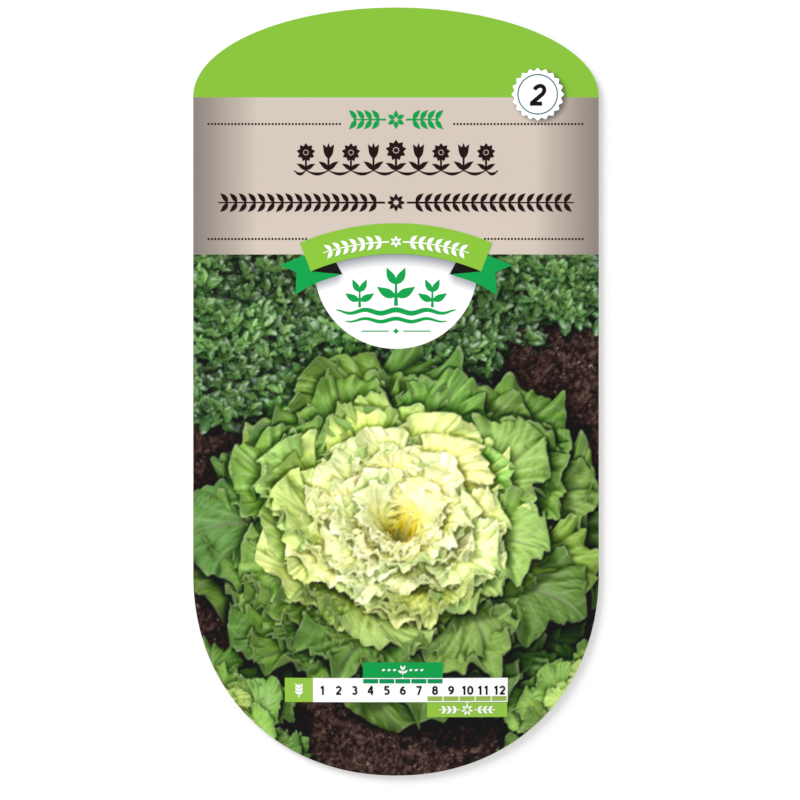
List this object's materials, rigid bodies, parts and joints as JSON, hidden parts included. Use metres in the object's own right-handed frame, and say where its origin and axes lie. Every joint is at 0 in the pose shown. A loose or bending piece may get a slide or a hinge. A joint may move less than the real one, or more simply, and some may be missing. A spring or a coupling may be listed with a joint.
{
  "type": "seed packet",
  "caption": "Flat die-cut seed packet with rounded ends: two card panels bonded at the rim, the front one bulging over an inner sachet of seeds.",
  "frame": {"origin": "under the middle of the packet, on the surface that its back panel lies on", "axes": "+Z out of the printed front, +Y towards the packet's shallow rounded top, +X to the right of someone who reads the front"},
  "size_m": [0.085, 0.161, 0.004],
  "materials": {
    "printed_card": "satin print",
    "back_card": "matte",
    "adhesive": "satin",
    "sachet_paper": "matte",
    "seed_husk": "matte"
  },
  "bodies": {
    "root": {"back_panel": "back_card", "front_panel": "printed_card", "rim_adhesive": "adhesive", "sachet_back": "sachet_paper", "sachet_front": "sachet_paper", "seeds": "seed_husk"}
  },
  "joints": []
}
